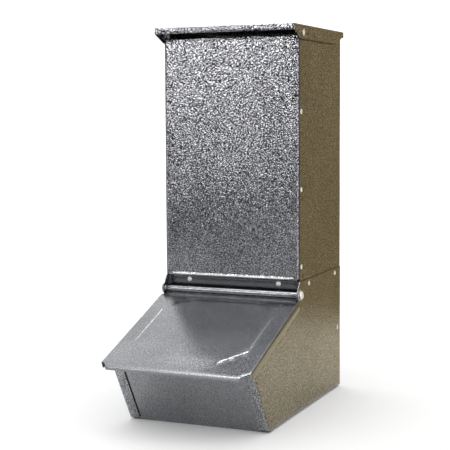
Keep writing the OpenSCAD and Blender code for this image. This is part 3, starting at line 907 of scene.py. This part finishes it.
def solid_centres(cad_node):
    """The middle of each separate solid in a CAD node, in order."""
    bm = bmesh.new()
    bm.from_mesh(frame["nodes"][cad_node].data)
    bmesh.ops.remove_doubles(bm, verts=bm.verts, dist=SAME_POINT)
    left, centres = set(bm.verts), []
    while left:
        island, front = set(), [next(iter(left))]
        while front:
            vert = front.pop()
            if vert not in island:
                island.add(vert)
                front += [edge.other_vert(vert) for edge in vert.link_edges]
        left -= island
        centres.append(sum((Vector([f(v.co[i] for v in island) for i in range(3)]) for f in (min, max)),
                           Vector()) / 2)
    bm.free()
    return sorted(centres, key=lambda c: (round(c.x, 5), round(c.y, 5), round(c.z, 5)))


def seats_at_sides(cad_node, x):
    """A seat at x, on the left or the right, level with each solid of the node and facing out."""
    return [((copysign(x, c.x), c.y, c.z), (copysign(1, c.x), 0, 0)) for c in solid_centres(cad_node)]


def seat_pair(x, axis):
    """A seat on each side at x, on a hinge's axis and facing out."""
    return [((sign * x, axis.y, axis.z), (sign, 0, 0)) for sign in (-1, 1)]


def radius_and_thickness(cad_node, inner_x):
    """The radius of a round piece on a hinge's axis, and how far it stands out from inner_x."""
    low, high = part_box(cad_node)
    return (high.z - low.z) / 2, high.x - inner_x


def rivets(tree):
    """The rivets that hold the sheets together."""
    shank = 4 * MM
    rivet = turned("rivet_pattern", rivet_profile(shank, 2 * SHEET, shank, 0.4 * shank, 0.72 * shank))
    uneven = radians(1.2)
    for side, sign in (("left", -1), ("right", 1)):
        for kind, x, seed in (("front", HOPPER_X, 3), ("lap", BASE_X, 5)):
            cad_node = f"{kind}_rivets_{side}"
            hardware(f"{kind}_rivet_row_{side}", seats_at_sides(cad_node, x), rivet, tree, [cad_node],
                     tilt=uneven, seed=seed + sign)
    hardware("rear_rivet_pair", seats_at_sides("rear_rivets", BASE_X), rivet, tree, ["rear_rivets"],
             tilt=uneven, seed=11)
    foot = [((c.x, FOOT_Y, c.z), (0, -1, 0)) for c in solid_centres("baffle_rivets")]
    hardware("baffle_rivet_pair", foot, rivet, tree, ["baffle_rivets"], tilt=uneven, seed=12)
    back = [((c.x, BACK_Y, c.z), (0, 1, 0)) for c in solid_centres("chute_rivets")]
    hardware("chute_rivet_row", back, rivet, tree, ["chute_rivets"], tilt=uneven, seed=13)
    bpy.data.objects.remove(rivet)


def roof_hinge(tree):
    """The rivets that the roof turns on, and the rings that keep it off the hopper."""
    shank, play = 5 * MM, 0.35 * MM
    head_rise = 1.6 * MM
    grip = ROOF_X - HOPPER_X + SHEET + play
    pivot = turned("pivot_pattern", rivet_profile(shank, grip, 1.1 * shank, head_rise, 0.68 * shank), 28)
    hardware("roof_pivot_pair", seat_pair(ROOF_X + play, ROOF_HINGE), pivot, tree, ["roof_pivots"], seed=14)
    ring_r, ring_t = radius_and_thickness("roof_spacers", HOPPER_X)
    spacer = turned("spacer_pattern", ring_profile(shank / 2 + 0.1 * MM, ring_r, ring_t, 0.15 * MM))
    hardware("roof_spacer_pair", seat_pair(HOPPER_X, ROOF_HINGE), spacer, tree, ["roof_spacers"])
    for pattern in (pivot, spacer):
        bpy.data.objects.remove(pattern)


def lid_hinge(tree):
    """The rod through the lid's rolled edge, with a washer and a cap on each end."""
    washer_r, washer_t = radius_and_thickness("hinge_washers", BASE_X)
    washer = turned("washer_pattern", ring_profile(4.1 * MM, washer_r, washer_t, 0.2 * MM), 40)
    # painted shade: the washers are darkened all over, for the dark ring of shade round the rod's ends
    hardware("hinge_washer_pair", seat_pair(BASE_X, LID_HINGE), washer, tree, ["hinge_washers"],
             shade_share=lambda point: 0.8)
    cap_x = BASE_X + washer_t

    def cap_groove_shade(point):
        """Painted shade: the cap is dark in the groove between its dome and its teeth, and at its foot."""
        reach = hypot(point.y - LID_HINGE.y, point.z - LID_HINGE.z)
        return 0.85 if abs(point.x) < cap_x + 2.2 * MM and reach < 7.6 * MM else 0.0

    cap = push_cap()
    hardware("hinge_cap_pair", seat_pair(cap_x, LID_HINGE), cap, tree, ["hinge_caps"], spin=0.0,
             shade_share=cap_groove_shade)
    rod_r, rod_end = radius_and_thickness("hinge_rod", 0)
    chamfer = 0.6 * MM
    rod = turned("rod_pattern", [
        (0, 0), (rod_r - chamfer, 0), (rod_r, chamfer), (rod_r, rod_end * 2 - chamfer),
        (rod_r - chamfer, rod_end * 2), (0, rod_end * 2)
    ], 32)
    rod_seat = (-rod_end, LID_HINGE.y, LID_HINGE.z), (1, 0, 0)
    hardware("hinge_rod_turned", [rod_seat], rod, tree, ["hinge_rod"])
    for pattern in (washer, cap, rod):
        bpy.data.objects.remove(pattern)


trough_lid()
roof_lid()
hopper_front()
trough_pan()
panel("hopper_wrap", "hopper_wrap_sheet", 0.6)
panel("base_side_left", "base_side_left_sheet", 0.45)
panel("base_side_right", "base_side_right_sheet", 0.45)
feed_plates()
hardware_row = hardware_tree()
rivets(hardware_row)
roof_hinge(hardware_row)
lid_hinge(hardware_row)


# ---------------------------------------------------------------- camera, floor and light

def make_camera():
    """A long lens, a little above the feeder and to its right."""
    turn, dip, roll = radians(23.481), radians(5.394), radians(-0.366)
    stand = Vector((0.7339, -1.7079, 0.4689))
    ahead = Vector((-sin(turn) * cos(dip), cos(turn) * cos(dip), -sin(dip)))
    level = Vector((cos(turn), sin(turn), 0))
    up = level.cross(ahead)
    right = cos(roll) * level + sin(roll) * up
    top = cos(roll) * up - sin(roll) * level
    camera = bpy.data.cameras.new("camera")
    camera.lens = 94.5
    camera.sensor_width = 36
    camera.clip_start = 0.05
    place = bpy.data.objects.new("camera", camera)
    place.matrix_world = Matrix.Translation(stand) @ Matrix((right, top, -ahead)).transposed().to_4x4()
    bpy.context.scene.collection.objects.link(place)
    bpy.context.scene.camera = place


def matt(name, colour):
    """A plain matt finish for the studio's boards."""
    material, _, shader = new_material(name)
    shader.inputs["Base Color"].default_value = (*colour, 1)
    shader.inputs["Roughness"].default_value = 0.9
    return material


def board(name, corners, material, seen=False):
    """A flat board, from its four corners. One that isn't seen only shows in the feeder's reflections."""
    mesh = bpy.data.meshes.new(name)
    mesh.from_pydata(corners, [], [(0, 1, 2, 3)])
    mesh.materials.append(material)
    flat = bpy.data.objects.new(name, mesh)
    bpy.context.scene.collection.objects.link(flat)
    flat.visible_camera = flat.visible_diffuse = flat.visible_shadow = seen


def standing_board(name, centre, width, height, material):
    """A board that stands on the floor and faces the feeder."""
    centre = Vector((*centre, 0))
    along = Vector((-centre.y, centre.x, 0)).normalized() * width / 2
    rise = Vector((0, 0, height))
    corners = [centre - along, centre + along, centre + along + rise, centre - along + rise]
    board(name, corners, material)


def level_board(name, low, high, material, lift=MM, seen=False):
    """A board that lies level, just off the floor."""
    corners = [(x, y, lift) for x, y in (low, (high[0], low[1]), high, (low[0], high[1]))]
    board(name, corners, material, seen)


def make_floor():
    """A plain pale floor, and the boards that the paint reflects."""
    level_board("floor", (-6, -6), (6, 6), matt("floor", (0.93, 0.93, 0.93)), lift=0, seen=True)
    level_board("tan_mat", (0.12, -0.3), (1.6, 1.6), matt("tan", (0.64, 0.55, 0.355)))
    standing_board("brown_board", (0.36, 0.80), 2.0, 1.5, matt("brown", (0.31, 0.225, 0.095)))
    charcoal = matt("charcoal", (0.11, 0.11, 0.12))
    standing_board("black_board", (-1.25, -2.9), 3.0, 1.9, charcoal)
    level_board("black_mat", (-2.2, -2.6), (0.2, -1.0), charcoal)


def softbox(name, place, aim, size, power):
    """A softbox that only shows in what is glossy; the studio's even light does the rest."""
    light = bpy.data.lights.new(name, "AREA")
    light.shape = "RECTANGLE"
    light.size, light.size_y = size
    light.energy = power
    lamp = bpy.data.objects.new(name, light)
    lamp.location = place
    lamp.rotation_euler = (Vector(aim) - Vector(place)).to_track_quat("-Z", "Y").to_euler()
    lamp.visible_camera = lamp.visible_diffuse = False
    bpy.context.scene.collection.objects.link(lamp)


def make_light():
    """Even white light all round, with three softboxes."""
    world = bpy.data.worlds.new("studio")
    bpy.context.scene.world = world
    world.use_nodes = True
    sky = world.node_tree.nodes["Background"]
    sky.inputs["Color"].default_value = (1, 1, 1, 1)
    sky.inputs["Strength"].default_value = 1.25
    softbox("overhead", place=(-0.3, -0.1, 2.3), aim=(0, 0, 0.3), size=(2.0, 1.2), power=36)
    softbox("front_softbox", place=(-1.15, -2.6, 1.10), aim=(0, 0, 0.5), size=(1.0, 0.8), power=14)
    softbox("left_strip", place=(-1.25, 1.70, 0.62), aim=(0, 0, 0.1), size=(0.8, 0.4), power=7)


make_camera()
make_floor()
make_light()
bpy.context.scene.view_settings.view_transform = "Standard"
